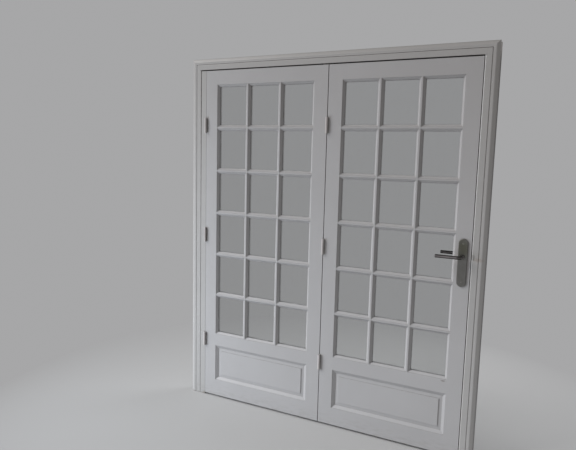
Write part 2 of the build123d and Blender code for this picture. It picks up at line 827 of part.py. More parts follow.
# Pane, bead ring and fielded panel, each made once about its own middle
with BuildPart() as pane:
    with BuildSketch(front_plane.offset(-glass_depth)):
        cover = 2 * (rebate_cover - glass_clearance)
        Rectangle(sight_width + cover, sight_height + cover)
    extrude(amount=-glass_thickness)
with BuildPart() as bead_ring:
    bead_plane = front_plane.offset(-glass_depth - glass_thickness)
    with BuildSketch(bead_plane):
        Rectangle(sight_width + 2 * rebate_cover, sight_height + 2 * rebate_cover)
        Rectangle(sight_width, sight_height, mode=Mode.SUBTRACT)
    extrude(amount=-bead_depth)
    inner_rear = [
        edge
        for edge in bead_ring.faces().sort_by(Axis.Y)[-1].edges()
        if abs(abs(edge.center().X) - sight_width / 2) < place_tolerance
        or abs(abs(edge.center().Z) - sight_height / 2) < place_tolerance
    ]
    chamfer(inner_rear, bead_splay)

tongue_plane = Plane.XZ.offset(panel_tongue / 2)
with BuildPart() as panel_blank:
    with BuildSketch(Plane.XZ):
        tongue = 2 * (groove_depth - panel_expansion)
        Rectangle(panel_sight_width + tongue, panel_sight_height + tongue)
    extrude(amount=panel_tongue / 2)
    with BuildSketch(tongue_plane):
        Rectangle(panel_sight_width - 2 * panel_inset, panel_sight_height - 2 * panel_inset)
    with BuildSketch(tongue_plane.offset(panel_raise - panel_step)):
        Rectangle(panel_sight_width - 2 * panel_bevel, panel_sight_height - 2 * panel_bevel)
    loft()
    with BuildSketch(tongue_plane.offset(panel_raise - panel_step)):
        Rectangle(panel_sight_width - 2 * panel_bevel, panel_sight_height - 2 * panel_bevel)
    extrude(amount=panel_step)
    mirror(about=Plane.XZ)


# One leaf: stiles, rails, glazing bars, panes, beads and panel
def make_leaf(side, outer_edge, inward, outer_name, outer_voids, meeting_voids):
    """Lengths across the leaf run from its outer edge, toward the meeting line."""
    meeting_edge = outer_edge + inward * leaf_width
    outer_sight = outer_edge + inward * (outer_stile_face + moulding_width)
    meeting_sight = meeting_edge - inward * (meeting_stile_face + moulding_width)
    glass_middle = outer_edge + inward * (outer_stile_face + glass_width / 2)
    columns = [
        glass_middle + (n - (pane_columns - 1) / 2) * pane_pitch_x for n in range(pane_columns)
    ]
    rows = [glass_bottom + pane_face_height / 2 + n * pane_pitch_z for n in range(pane_rows)]
    pane_places = [(x, 0, z) for x in columns for z in rows]
    panel_place = (glass_middle, 0, (panel_bottom + panel_top) / 2)
    depth = (leaf_front, leaf_rear)

    with BuildPart() as openings:
        with Locations(*pane_places):
            add(pane_void.part)
        with Locations(panel_place):
            add(panel_void.part)

    rail_spans = {
        "top_rail": (glass_top - moulding_width, leaf_top),
        "lock_rail": (panel_top - panel_moulding_width, glass_bottom + moulding_width),
        "bottom_rail": (leaf_bottom, panel_bottom + panel_moulding_width),
    }
    rails = []
    for rail_name, (low, high) in rail_spans.items():
        with BuildPart() as rail:
            block((outer_sight, meeting_sight), depth, (low, high))
            block(
                (outer_sight - inward * tenon_length, meeting_sight + inward * tenon_length),
                (-tenon_thickness / 2, tenon_thickness / 2),
                (low + tenon_shoulder, high - tenon_shoulder),
            )
            add(openings.part, mode=Mode.SUBTRACT)
        keep(rail, f"{side}_{rail_name}")
        rails.append(rail.part)

    extra = panel_moulding_width - moulding_width
    for stile_name, edge, sight, panel_sight, voids in (
        (outer_name, outer_edge, outer_sight, outer_sight + inward * extra, outer_voids),
        (
            "meeting_stile", meeting_edge, meeting_sight, meeting_sight - inward * extra,
            meeting_voids,
        ),
    ):
        with BuildPart() as stile:
            block((edge, sight), depth, (leaf_bottom, leaf_top))
            block((edge, panel_sight), depth, (panel_bottom, panel_top))
            if edge != left_leaf_edge:
                fillet_long_edges(stile, Axis.Z, [{"X": edge, "Y": leaf_front}], arris_radius)
            for void in [openings.part, *rails, *voids]:
                add(void, mode=Mode.SUBTRACT)
        keep(stile, f"{side}_{stile_name}")

    bar_low = glass_bottom + moulding_width
    bar_high = glass_top - moulding_width
    bar_middles = [(a + b) / 2 for a, b in zip(columns, columns[1:])]
    with BuildPart() as vertical_bars:
        for x in bar_middles:
            block((x - bar_width / 2, x + bar_width / 2), depth, (bar_low, bar_high))
        add(openings.part, mode=Mode.SUBTRACT)
    keep(vertical_bars, f"{side}_vertical_bars")

    with BuildPart() as horizontal_bars:
        for low_row, high_row in zip(rows, rows[1:]):
            z = (low_row + high_row) / 2
            for x in columns:
                block(
                    (x - sight_width / 2, x + sight_width / 2),
                    depth,
                    (z - bar_width / 2, z + bar_width / 2),
                )
        add(openings.part, mode=Mode.SUBTRACT)
    keep(horizontal_bars, f"{side}_horizontal_bars")

    with BuildPart() as panes:
        with Locations(*pane_places):
            add(pane.part)
    keep(panes, f"{side}_panes")
    with BuildPart() as beads:
        with Locations(*pane_places):
            add(bead_ring.part)
    keep(beads, f"{side}_glazing_beads")
    with BuildPart() as panel:
        with Locations(panel_place):
            add(panel_blank.part)
    keep(panel, f"{side}_fielded_panel")


# Hollows in the lock stile for the spindle
with BuildPart() as spindle_void:
    with BuildSketch(Plane.XZ):
        with Locations((spindle_x, handle_height)):
            Circle(spindle_hole_radius)
    extrude(amount=leaf_rear, both=True)

left_screws = left_leaf_screws.part
right_screws = right_leaf_screws.part
make_leaf(
    "left_leaf", left_leaf_edge, 1, "hinge_stile",
    [*hinge_halves["frame_hinge_leaf_half"], left_screws],
    [*hinge_halves["fold_hinge_left_half"], left_screws, bolt_plate_envelope, bolt_voids.part],
)
make_leaf(
    "right_leaf", right_leaf_edge, -1, "lock_stile",
    [case_envelope, faceplate_envelope, spindle_void.part, right_screws],
    [*hinge_halves["fold_hinge_right_half"], right_screws],
)

for piece in pieces:
    export_step(piece, f"parts/{piece.label}.step")
print(len(pieces), "pieces written")
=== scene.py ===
import math
import random

import bmesh
import bpy
from mathutils import Matrix, Vector, noise


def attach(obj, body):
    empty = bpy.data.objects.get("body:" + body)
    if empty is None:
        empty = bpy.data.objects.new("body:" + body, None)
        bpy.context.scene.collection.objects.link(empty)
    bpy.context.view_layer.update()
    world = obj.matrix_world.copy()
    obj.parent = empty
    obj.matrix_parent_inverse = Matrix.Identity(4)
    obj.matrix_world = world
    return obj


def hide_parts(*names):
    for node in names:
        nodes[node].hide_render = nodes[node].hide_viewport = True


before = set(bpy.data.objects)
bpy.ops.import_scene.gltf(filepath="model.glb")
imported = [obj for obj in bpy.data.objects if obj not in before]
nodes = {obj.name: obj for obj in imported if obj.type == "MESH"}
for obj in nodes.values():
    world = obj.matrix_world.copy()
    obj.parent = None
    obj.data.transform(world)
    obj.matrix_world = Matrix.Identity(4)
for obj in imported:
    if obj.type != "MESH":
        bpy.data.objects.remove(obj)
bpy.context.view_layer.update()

# Frame of painted softwood: two jambs, a head housed between them, a packing strip on the
# hinge side, stops planted on three sides and architraves let into the outer edges.
# It was brush painted in place, many times over, in a satin off-white.
frame_uprights = [
    "left_jamb", "right_jamb", "hinge_packing_strip", "front_left_architrave",
    "front_right_architrave",
]
frame_levels = ["head_jamb", "front_head_architrave", "rear_architraves", "door_stops"]
frame_paint_color = (0.440, 0.433, 0.430, 1)
frame_upright_grime_and_shade = 0.9
# The grime colour darkens corners with dirt and painted shade; the deep colour is painted shade,
# near black, in the narrow gaps.
grime_and_shade_color = (0.150, 0.132, 0.115, 1)
deep_gap_shade_color = (0.016, 0.014, 0.012, 1)
# A tint toward the top: yellowed paint and painted shade, darker higher up.
yellowed_and_shaded_tint = (0.800, 0.780, 0.765, 1)
scuff_color = (0.33, 0.32, 0.305, 1)


def node_group(name, inputs, outputs):
    """A shader node group with its input and output nodes; inputs are (name, kind, value)."""
    group = bpy.data.node_groups.new(name, "ShaderNodeTree")
    for label, kind, value in inputs:
        socket = group.interface.new_socket(name=label, in_out="INPUT", socket_type=kind)
        socket.default_value = value
    for label, kind in outputs:
        group.interface.new_socket(name=label, in_out="OUTPUT", socket_type=kind)
    return group, group.nodes.new("NodeGroupInput"), group.nodes.new("NodeGroupOutput")


def fill_socket(tree, socket, value):
    """Link a socket to another one, or give it a plain value."""
    if isinstance(value, bpy.types.NodeSocket):
        tree.links.new(value, socket)
    else:
        socket.default_value = value


def add_node(tree, kind, settings=None, **sockets):
    """A node with its settings and sockets; in0, in1 name sockets that share a label."""
    node = tree.nodes.new(kind)
    for key, value in (settings or {}).items():
        setattr(node, key, value)
    for key, value in sockets.items():
        place = int(key[2:]) if key[:2] == "in" else key.replace("_", " ")
        fill_socket(tree, node.inputs[place], value)
    return node


def math_node(tree, operation, first, second=0.0):
    """The result of one sum on two values or sockets."""
    return add_node(
        tree, "ShaderNodeMath", {"operation": operation}, in0=first, in1=second
    ).outputs[0]


def vector_node(tree, operation, first, second=(0, 0, 0)):
    """The node of one sum on two vectors or sockets."""
    return add_node(
        tree, "ShaderNodeVectorMath", {"operation": operation}, in0=first, in1=second
    )


def mix_colors(tree, factor, first, second, blend="MIX"):
    """Two colours mixed by a factor; the node's colour sockets are 6, 7 and 2."""
    settings = {"data_type": "RGBA", "blend_type": blend}
    return add_node(
        tree, "ShaderNodeMix", settings, in0=factor, in6=first, in7=second
    ).outputs[2]


def stretch_mask(tree, value, low, high):
    """The value spread so that low gives 0 and high gives 1."""
    return add_node(
        tree, "ShaderNodeMapRange", {"clamp": True}, Value=value, From_Min=low, From_Max=high
    ).outputs["Result"]


def noise_value(tree, place, scale, detail=3.0, roughness=0.6):
    """Soft noise at a place."""
    return add_node(
        tree, "ShaderNodeTexNoise", {"noise_dimensions": "3D"}, Vector=place, Scale=scale,
        Detail=detail, Roughness=roughness,
    ).outputs["Fac"]


def object_place(tree):
    """The place on the piece, in metres."""
    return add_node(tree, "ShaderNodeTexCoord").outputs["Object"]


def build_brush_marks():
    """Fine ridges that a brush leaves along the grain, with slow changes in the film."""
    wave_scale, wave_share = 9.0, 1.6
    patch_scale = 2.6
    group, given, result = node_group(
        "brush marks",
        [("Grain", "NodeSocketVector", (1, 1, 1))],
        [("Height", "NodeSocketFloat"), ("Patches", "NodeSocketFloat")],
    )
    place = object_place(group)
    along = vector_node(group, "MULTIPLY", place, given.outputs["Grain"]).outputs[0]
    ridges = noise_value(group, along, scale=1.0, detail=4.0)
    waves = noise_value(group, place, wave_scale, detail=2.0, roughness=0.5)
    waves = math_node(group, "MULTIPLY", waves, wave_share)
    patches = noise_value(group, place, patch_scale, detail=5.0)
    group.links.new(math_node(group, "ADD", ridges, waves), result.inputs["Height"])
    group.links.new(patches, result.inputs["Patches"])
    return group


def build_corner_grime_and_shade():
    """Darkening by occlusion: dirt and painted shade in quirks and corners, and painted shade,
    near black, in the narrow gaps.
    """
    closed_from, closed_full = 0.80, 0.46
    broken_from, broken_full = 0.18, 0.56
    deep_from, deep_full = 0.42, 0.22
    group, given, result = node_group(
        "corner grime and shade",
        [("Reach", "NodeSocketFloat", 0.010), ("Breakup", "NodeSocketFloat", 55.0)],
        [("Mask", "NodeSocketFloat"), ("Deep Shade", "NodeSocketFloat")],
    )
    hollow = add_node(
        group, "ShaderNodeAmbientOcclusion", {"samples": 8, "only_local": False},
        Distance=given.outputs["Reach"],
    ).outputs["AO"]
    closed = stretch_mask(group, hollow, closed_from, closed_full)
    breaks = noise_value(group, object_place(group), given.outputs["Breakup"])
    breaks = stretch_mask(group, breaks, broken_from, broken_full)
    deep_shade = stretch_mask(group, hollow, deep_from, deep_full)
    group.links.new(math_node(group, "MULTIPLY", closed, breaks), result.inputs["Mask"])
    group.links.new(deep_shade, result.inputs["Deep Shade"])
    return group


def build_age_and_top_shade():
    """Yellowing and painted shade that grow toward the top, and scuffs and floor dust at the
    foot.
    """
    drift_scale, drift_share = 1.7, 0.5
    streak_stretch = (22.0, 22.0, 90.0)
    streak_from, streak_full = 0.46, 0.68
    group, given, result = node_group(
        "age and top shade by height",
        [
            ("Yellow From", "NodeSocketFloat", 0.5),
            ("Yellow To", "NodeSocketFloat", 2.2),
            ("Scuff Top", "NodeSocketFloat", 0.10),
        ],
        [("Yellowed And Shaded", "NodeSocketFloat"), ("Scuffed", "NodeSocketFloat")],
    )
    place = object_place(group)
    height = add_node(group, "ShaderNodeSeparateXYZ", Vector=place).outputs["Z"]
    drift = noise_value(group, place, drift_scale, detail=2.0)
    raised = math_node(group, "ADD", height, math_node(group, "MULTIPLY", drift, drift_share))
    yellowed_and_shaded = stretch_mask(
        group, raised, given.outputs["Yellow From"], given.outputs["Yellow To"]
    )
    low_down = stretch_mask(group, height, given.outputs["Scuff Top"], 0.0)
    streaks = vector_node(group, "MULTIPLY", place, streak_stretch).outputs[0]
    streaks = noise_value(group, streaks, scale=1.0, detail=4.0)
    streaks = stretch_mask(group, streaks, streak_from, streak_full)
    group.links.new(yellowed_and_shaded, result.inputs["Yellowed And Shaded"])
    group.links.new(math_node(group, "MULTIPLY", low_down, streaks), result.inputs["Scuffed"])
    return group


def build_local_mark():
    """A ragged patch round one place, for a smudge, a worn spot, a chip, a joint line, painted
    shade or a painted highlight.
    """
    ragged_share = 0.9
    edge_from, edge_full = 1.45, 0.75
    group, given, result = node_group(
        "local mark",
        [
            ("Centre", "NodeSocketVector", (0, 0, 0)),
            ("Reach", "NodeSocketVector", (1, 1, 1)),
            ("Breakup", "NodeSocketFloat", 120.0),
        ],
        [("Mask", "NodeSocketFloat")],
    )
    place = object_place(group)
    offset = vector_node(group, "SUBTRACT", place, given.outputs["Centre"]).outputs[0]
    share = vector_node(group, "DIVIDE", offset, given.outputs["Reach"]).outputs[0]
    away = vector_node(group, "LENGTH", share).outputs["Value"]
    ragged = noise_value(group, place, given.outputs["Breakup"], detail=4.0)
    ragged = math_node(group, "MULTIPLY", ragged, ragged_share)
    edge = math_node(group, "ADD", away, ragged)
    group.links.new(stretch_mask(group, edge, edge_from, edge_full), result.inputs["Mask"])
    return group


brush_marks = build_brush_marks()
corner_grime_and_shade = build_corner_grime_and_shade()
age_and_top_shade = build_age_and_top_shade()
local_mark = build_local_mark()


def placed_group(tree, group, **sockets):
    """A copy of a node group in a material, with its own values."""
    node = tree.nodes.new("ShaderNodeGroup")
    node.node_tree = group
    for key, value in sockets.items():
        node.inputs[key].default_value = value
    return node


def new_material(name):
    """A node material with its Principled shader and its output, linked."""
    material = bpy.data.materials.new(name)
    material.use_nodes = True
    tree = material.node_tree
    tree.nodes.clear()
    output = tree.nodes.new("ShaderNodeOutputMaterial")
    shader = tree.nodes.new("ShaderNodeBsdfPrincipled")
    tree.links.new(shader.outputs["BSDF"], output.inputs["Surface"])
    return material, tree, shader


def add_mark(tree, base, centre, reach, breakup, color, strength):
    """The base colour with one local mark laid over it."""
    mark = placed_group(tree, local_mark, Centre=centre, Reach=reach, Breakup=breakup)
    amount = math_node(tree, "MULTIPLY", mark.outputs["Mask"], strength)
    return mix_colors(tree, amount, base, color)


def add_relief(tree, shader, height, depth, edge_radius):
    """Bump of a real depth over edges that look slightly rounded."""
    soft_edge = add_node(
        tree, "ShaderNodeBevel", {"samples": 4}, Radius=edge_radius
    ).outputs[0]
    bump = add_node(
        tree, "ShaderNodeBump", Strength=1.0, Distance=depth, Height=height, Normal=soft_edge
    )
    tree.links.new(bump.outputs["Normal"], shader.inputs["Normal"])


def brushed_paint(name, color, grain, grime_and_shade_amount=0.75, deep_shade=1.0, marks=()):
    """Satin paint over wood, with dirt and painted shade in its corners and painted shade in its
    gaps; each mark is laid on by add_mark.
    """
    worn_share = 0.95
    patch_from, patch_full = 0.35, 0.68
    scuff_share = 0.5
    clean_roughness, patch_roughness, dirt_roughness = 0.32, 0.22, 0.3
    ridge_height = 0.00012
    edge_radius = 0.0012
    material, tree, shader = new_material(name)
    film = placed_group(tree, brush_marks, Grain=grain)
    corner_occlusion = placed_group(tree, corner_grime_and_shade)
    age = placed_group(tree, age_and_top_shade)
    worn_color = tuple(channel * worn_share for channel in color[:3]) + (1,)
    patches = stretch_mask(tree, film.outputs["Patches"], patch_from, patch_full)
    base = mix_colors(tree, patches, color, worn_color)
    # Yellowing and painted shade, darker toward the top.
    base = mix_colors(tree, age.outputs["Yellowed And Shaded"], base, yellowed_and_shaded_tint, "MULTIPLY")
    scuffs = math_node(tree, "MULTIPLY", age.outputs["Scuffed"], scuff_share)
    base = mix_colors(tree, scuffs, base, scuff_color)
    for mark in marks:
        base = add_mark(tree, base, **mark)
    # Dirt and painted shade in the corners, then painted shade, near black, in the narrow gaps.
    grime_and_shade_share = math_node(tree, "MULTIPLY", corner_occlusion.outputs["Mask"], grime_and_shade_amount)
    base = mix_colors(tree, grime_and_shade_share, base, grime_and_shade_color)
    deepest_shade = math_node(tree, "MULTIPLY", corner_occlusion.outputs["Deep Shade"], deep_shade)
    base = mix_colors(tree, deepest_shade, base, deep_gap_shade_color)
    tree.links.new(base, shader.inputs["Base Color"])
    rough = math_node(tree, "MULTIPLY", film.outputs["Patches"], patch_roughness)
    rough = math_node(tree, "ADD", rough, clean_roughness)
    dull_dirt = math_node(tree, "MULTIPLY", grime_and_shade_share, dirt_roughness)
    tree.links.new(math_node(tree, "ADD", rough, dull_dirt), shader.inputs["Roughness"])
    add_relief(tree, shader, film.outputs["Height"], ridge_height, edge_radius)
    return material


def dress(names, material):
    """Give the named pieces one material all over."""
    for name in names:
        for slot in nodes[name].material_slots:
            slot.material = material


def piece_box(name):
    """The lowest and highest corner of a CAD piece."""
    corners = nodes[name].bound_box
    return Vector(corners[0]), Vector(corners[6])


mid_height = 1.0
whole_length = 9.0
line_breakup = 60.0
# Near-black colour of the painted shade in the narrow gaps round the leaves.
gap_shade_color = (0.03, 0.026, 0.022, 1)


def upright_line(x, y, half_width, half_depth, color, strength):
    """A mark along a joint or an edge that runs the whole height."""
    return dict(
        centre=(x, y, mid_height), reach=(half_width, half_depth, whole_length),
        breakup=line_breakup, color=color, strength=strength,
    )


def level_line(
    y, z, half_depth, half_height, color=gap_shade_color, strength=0.9, breakup=line_breakup
):
    """A mark along a joint or an edge that runs the whole width."""
    return dict(
        centre=(0, y, z), reach=(whole_length, half_depth, half_height),
        breakup=breakup, color=color, strength=strength,
    )


upright_grain = (520.0, 520.0, 14.0)
level_grain = (14.0, 520.0, 520.0)
strip_outer_x = piece_box("hinge_packing_strip")[0].x
lock_jamb_x = piece_box("right_jamb")[0].x
head_underside_z = piece_box("head_jamb")[0].z
frame_top_z = piece_box("front_head_architrave")[1].z
latch_smudge = dict(
    centre=(0.850, -0.022, 1.062), reach=(0.036, 0.030, 0.013), breakup=90.0,
    color=(0.27, 0.21, 0.165, 1), strength=0.42,
)
foot_wear = dict(
    centre=(-0.790, -0.018, 0.006), reach=(0.020, 0.030, 0.014), breakup=150.0,
    color=(0.17, 0.145, 0.12, 1), strength=0.45,
)
# Painted shade along the joint between the jamb and the packing strip, wider and darker over its
# upper part.
strip_joint_shade = upright_line(
    x=strip_outer_x, y=-0.016, half_width=0.0021, half_depth=0.040,
    color=(0.10, 0.092, 0.084, 1), strength=0.8,
)
strip_joint_upper_shade = dict(
    centre=(strip_outer_x, -0.016, 1.90), reach=(0.0042, 0.040, 0.75),
    breakup=line_breakup, color=(0.06, 0.054, 0.048, 1), strength=0.8,
)
# A painted highlight: a pale line along the lock jamb's front inner arris.
lock_arris_highlight = upright_line(
    x=lock_jamb_x + 0.0008, y=-0.018, half_width=0.0036, half_depth=0.005,
    color=(0.72, 0.71, 0.70, 1), strength=0.9,
)
# Painted shade: a darker strip on the lock jamb's inner face, in the gap beside the leaf.
lock_gap_shade = upright_line(
    x=lock_jamb_x - 0.0005, y=0.006, half_width=0.0026, half_depth=0.020,
    color=(0.17, 0.155, 0.14, 1), strength=0.45,
)
# Painted shade: a near-black line on the head's edge over the gap above the leaves.
head_gap_shade = level_line(
    y=-0.018, z=head_underside_z + 0.0005, half_depth=0.060, half_height=0.0022
)
head_top_dust = level_line(
    y=-0.060, z=frame_top_z + 0.001, half_depth=whole_length, half_height=0.0075,
    color=(0.25, 0.24, 0.225, 1), strength=0.75, breakup=30.0,
)
dress(
    frame_uprights,
    brushed_paint(
        "frame paint upright", frame_paint_color, upright_grain, grime_and_shade_amount=frame_upright_grime_and_shade,
        marks=(
            latch_smudge, foot_wear, strip_joint_shade, strip_joint_upper_shade, lock_arris_highlight,
            lock_gap_shade,
        ),
    ),
)
dress(
    frame_levels,
    brushed_paint(
        "frame paint level", frame_paint_color, level_grain,
        marks=(head_gap_shade, head_top_dust),
    ),
)

# Leaves: stiles and rails tenoned together round six rows of three panes, over one fielded
# panel with bevelled margins. All of it is joinery softwood under the same satin paint.
leaf_paint_color = (0.463, 0.458, 0.466, 1)
lock_stile_low, lock_stile_high = piece_box("right_leaf_lock_stile")
hand_smudge = dict(
    centre=(0.760, -0.018, 1.050), reach=(0.060, 0.030, 0.110), breakup=40.0,
    color=(0.36, 0.32, 0.28, 1), strength=0.22,
)
putty_chips = dict(
    centre=(0.718, -0.012, 0.408), reach=(0.016, 0.012, 0.007), breakup=260.0,
    color=(0.13, 0.10, 0.075, 1), strength=0.9,
)
# Painted shade of the gaps: near-black lines on the top and foot edges of the leaves, and a
# faint darker strip on the lock edge.
leaf_top_gap_shade = level_line(
    y=-0.010, z=lock_stile_high.z + 0.0005, half_depth=0.060, half_height=0.0018
)
leaf_foot_gap_shade = level_line(
    y=-0.010, z=lock_stile_low.z - 0.0002, half_depth=whole_length, half_height=0.0042
)
leaf_lock_gap_shade = upright_line(
    x=lock_stile_high.x + 0.0001, y=-0.008, half_width=0.0022, half_depth=0.060,
    color=(0.20, 0.18, 0.16, 1), strength=0.25,
)
leaf_upright_paint = brushed_paint(
    "leaf paint upright", leaf_paint_color, upright_grain,
    marks=(hand_smudge, putty_chips, leaf_top_gap_shade, leaf_foot_gap_shade, leaf_lock_gap_shade),
)
leaf_level_paint = brushed_paint(
    "leaf paint level", leaf_paint_color, level_grain,
    marks=(putty_chips, leaf_top_gap_shade, leaf_foot_gap_shade),
)
for leaf, outer_stile in (("left_leaf", "hinge_stile"), ("right_leaf", "lock_stile")):
    uprights = (outer_stile, "meeting_stile", "vertical_bars")
    levels = (
        "top_rail", "lock_rail", "bottom_rail", "horizontal_bars", "fielded_panel",
        "glazing_beads",
    )
    dress([f"{leaf}_{part}" for part in uprights], leaf_upright_paint)
    dress([f"{leaf}_{part}" for part in levels], leaf_level_paint)

# Panes: clear drawn glass, 4 mm thick, bedded behind the mouldings and held by the beads.
# It is very slightly wavy, with the faint wiped streaks of its last cleaning.
glass_color = (0.68, 0.69, 0.69, 1)
wiped_dust_color = (0.5, 0.5, 0.49, 1)


def mix_shaders(tree, factor, first, second):
    """Two shaders mixed by a factor."""
    return add_node(
        tree, "ShaderNodeMixShader", in0=factor, in1=first, in2=second
    ).outputs["Shader"]


def replace_surface(tree, surface):
    """Put another surface on a material's output, in place of its plain shader."""
    output = next(node for node in tree.nodes if node.type == "OUTPUT_MATERIAL")
    tree.links.new(surface, output.inputs["Surface"])


def clear_glass(name):
    """Glass that lamps shine through without a dark shadow."""
    wiped_stretch = (60.0, 10.0, 9.0)
    streak_from, streak_full = 0.50, 0.80
    streak_dust, streak_haze, clean_roughness = 0.10, 0.03, 0.008
    wave_scale, wave_strength, wave_depth = 7.0, 0.35, 0.00025
    material, tree, shader = new_material(name)
    place = object_place(tree)
    wiped = vector_node(tree, "MULTIPLY", place, wiped_stretch).outputs[0]
    streaks = noise_value(tree, wiped, scale=1.0, detail=5.0)
    streaks = stretch_mask(tree, streaks, streak_from, streak_full)
    dusty = math_node(tree, "MULTIPLY", streaks, streak_dust)
    dusted = mix_colors(tree, dusty, glass_color, wiped_dust_color)
    tree.links.new(dusted, shader.inputs["Base Color"])
    hazy = math_node(tree, "MULTIPLY", streaks, streak_haze)
    hazy = math_node(tree, "ADD", hazy, clean_roughness)
    tree.links.new(hazy, shader.inputs["Roughness"])
    shader.inputs["Transmission Weight"].default_value = 1.0
    shader.inputs["IOR"].default_value = 1.5
    waves = noise_value(tree, place, wave_scale, detail=1.0)
    bump = add_node(
        tree, "ShaderNodeBump", Strength=wave_strength, Distance=wave_depth, Height=waves
    )
    tree.links.new(bump.outputs["Normal"], shader.inputs["Normal"])
    lamp_ray = add_node(tree, "ShaderNodeLightPath").outputs["Is Shadow Ray"]
    clear = add_node(tree, "ShaderNodeBsdfTransparent", Color=glass_color)
    surface = mix_shaders(tree, lamp_ray, shader.outputs["BSDF"], clear.outputs["BSDF"])
    replace_surface(tree, surface)
    return material


dress(["left_leaf_panes", "right_leaf_panes"], clear_glass("pane glass"))

# Paint lines: the brush ran a millimetre over the edge of every pane, front and back, and
# left a thin ragged fillet of hardened paint in the corner between the wood and the glass.
pane_cover = 0.008
fillet_on_glass, fillet_on_wood = 0.0013, 0.0009
fillet_bite = 0.00005
fillet_step = 0.016
fillet_ragged, fillet_ragged_scale = 0.45, 90.0
same_point = 1e-6


def loose_solids(node):
    """The vertices of every separate solid in a CAD node, as lists of points."""
    mesh = bmesh.new()
    mesh.from_mesh(nodes[node].data)
    bmesh.ops.remove_doubles(mesh, verts=mesh.verts, dist=same_point)
    solids, seen = [], set()
    for start in mesh.verts:
        if start in seen:
            continue
        seen.add(start)
        solid, waiting = [], [start]
        while waiting:
            vertex = waiting.pop()
            solid.append(vertex.co.copy())
            for edge in vertex.link_edges:
                other = edge.other_vert(vertex)
                if other not in seen:
                    seen.add(other)
                    waiting.append(other)
        solids.append(solid)
    mesh.free()
    return solids


def corners_of(points):
    """The lowest and highest corner of some points."""
    return (
        Vector([min(point[axis] for point in points) for axis in range(3)]),
        Vector([max(point[axis] for point in points) for axis in range(3)]),
    )


def ring_places(low_x, high_x, low_z, high_z):
    """Points round a pane's sight opening, each with the way into the pane."""
    corners = [
        (Vector((low_x, low_z)), Vector((1, 1))), (Vector((high_x, low_z)), Vector((-1, 1))),
        (Vector((high_x, high_z)), Vector((-1, -1))), (Vector((low_x, high_z)), Vector((1, -1))),
    ]
    places = []
    for (corner, inward), (following, _) in zip(corners, corners[1:] + corners[:1]):
        places.append((corner, inward))
        side = following - corner
        count = max(2, round(side.length / fillet_step))
        normal = Vector((-side.y, side.x)).normalized()
        for step in range(1, count):
            places.append((corner + side * step / count, normal))
    return places


def fillet_section(mesh, place, inward, face_y, out):
    """Three vertices of a paint fillet: its root, its end on the glass and on the wood."""
    spot = Vector((place.x, face_y, place.y))
    ragged = 1 + fillet_ragged * noise.noise(spot * fillet_ragged_scale)
    way = Vector((inward.x, 0, inward.y))
    root = spot - way * fillet_bite - Vector((0, out * fillet_bite, 0))
    glass_end = root + way * (fillet_on_glass * ragged)
    wood_end = root + Vector((0, out * fillet_on_wood * ragged, 0))
    return [mesh.verts.new(point) for point in (root, glass_end, wood_end)]


def new_piece(name, mesh, material, body):
    """A finished piece from a bmesh, on its body and in its material slot."""
    bmesh.ops.recalc_face_normals(mesh, faces=mesh.faces)
    data = bpy.data.meshes.new(name)
    mesh.to_mesh(data)
    mesh.free()
    data.materials.append(material)
    piece = bpy.data.objects.new(name, data)
    bpy.context.scene.collection.objects.link(piece)
    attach(piece, body)
    return piece


for leaf in ("left_leaf", "right_leaf"):
    mesh = bmesh.new()
    for solid in loose_solids(f"{leaf}_panes"):
        low, high = corners_of(solid)
        ring = ring_places(
            low.x + pane_cover, high.x - pane_cover, low.z + pane_cover, high.z - pane_cover
        )
        for face_y, out in ((low.y, -1), (high.y, 1)):
            sections = [
                fillet_section(mesh, place, inward, face_y, out) for place, inward in ring
            ]
            for here, after in zip(sections, sections[1:] + sections[:1]):
                for a, b in ((0, 1), (1, 2), (2, 0)):
                    mesh.faces.new((here[a], here[b], after[b], after[a]))
    new_piece(f"{leaf}_paint_lines", mesh, leaf_level_paint, leaf)

# Hinges: lift-off steel hinges in pairs of halves, each with a flap let into an edge and a
# half knuckle in front. They were painted over with the doors; only the pins stayed bare.
hinge_halves = [
    f"{place}_{kind}"
    for place in ("bottom", "middle", "top")
    for kind in (
        "frame_hinge_strip_half", "frame_hinge_leaf_half", "fold_hinge_left_half",
        "fold_hinge_right_half",
    )
]
# The hinge paint is set lighter than the door paint, as a painted highlight against the shade on
# the knuckles.
hinge_lightened_paint_color = (0.56, 0.535, 0.53, 1)
hinge_grain = (90.0, 90.0, 40.0)
dress(
    hinge_halves,
    brushed_paint("hinge paint", hinge_lightened_paint_color, hinge_grain, grime_and_shade_amount=0.12, deep_shade=0.0),
)


def build_metal_wear():
    """Long fine scratches, cloudy patches and rubbed edges for plain or handled metal."""
    edge_from, edge_full = 0.995, 0.90
    broken_from, broken_full = 0.30, 0.60
    group, given, result = node_group(
        "metal wear",
        [
            ("Stretch", "NodeSocketVector", (1, 1, 1)),
            ("Clouds", "NodeSocketFloat", 20.0),
            ("Edge", "NodeSocketFloat", 0.0012),
        ],
        [
            ("Scratches", "NodeSocketFloat"), ("Cloudy", "NodeSocketFloat"),
            ("Rubbed", "NodeSocketFloat"),
        ],
    )
    place = object_place(group)
    along = vector_node(group, "MULTIPLY", place, given.outputs["Stretch"]).outputs[0]
    scratches = noise_value(group, along, scale=1.0, detail=3.0, roughness=0.7)
    rounded = add_node(
        group, "ShaderNodeBevel", {"samples": 4}, Radius=given.outputs["Edge"]
    ).outputs[0]
    facing = add_node(group, "ShaderNodeNewGeometry").outputs["Normal"]
    square = vector_node(group, "DOT_PRODUCT", rounded, facing).outputs["Value"]
    edge = stretch_mask(group, square, edge_from, edge_full)
    cloudy = noise_value(group, place, given.outputs["Clouds"], detail=4.0)
    breaks = stretch_mask(group, cloudy, broken_from, broken_full)
    group.links.new(scratches, result.inputs["Scratches"])
    group.links.new(cloudy, result.inputs["Cloudy"])
    group.links.new(math_node(group, "MULTIPLY", edge, breaks), result.inputs["Rubbed"])
    return group


metal_wear = build_metal_wear()


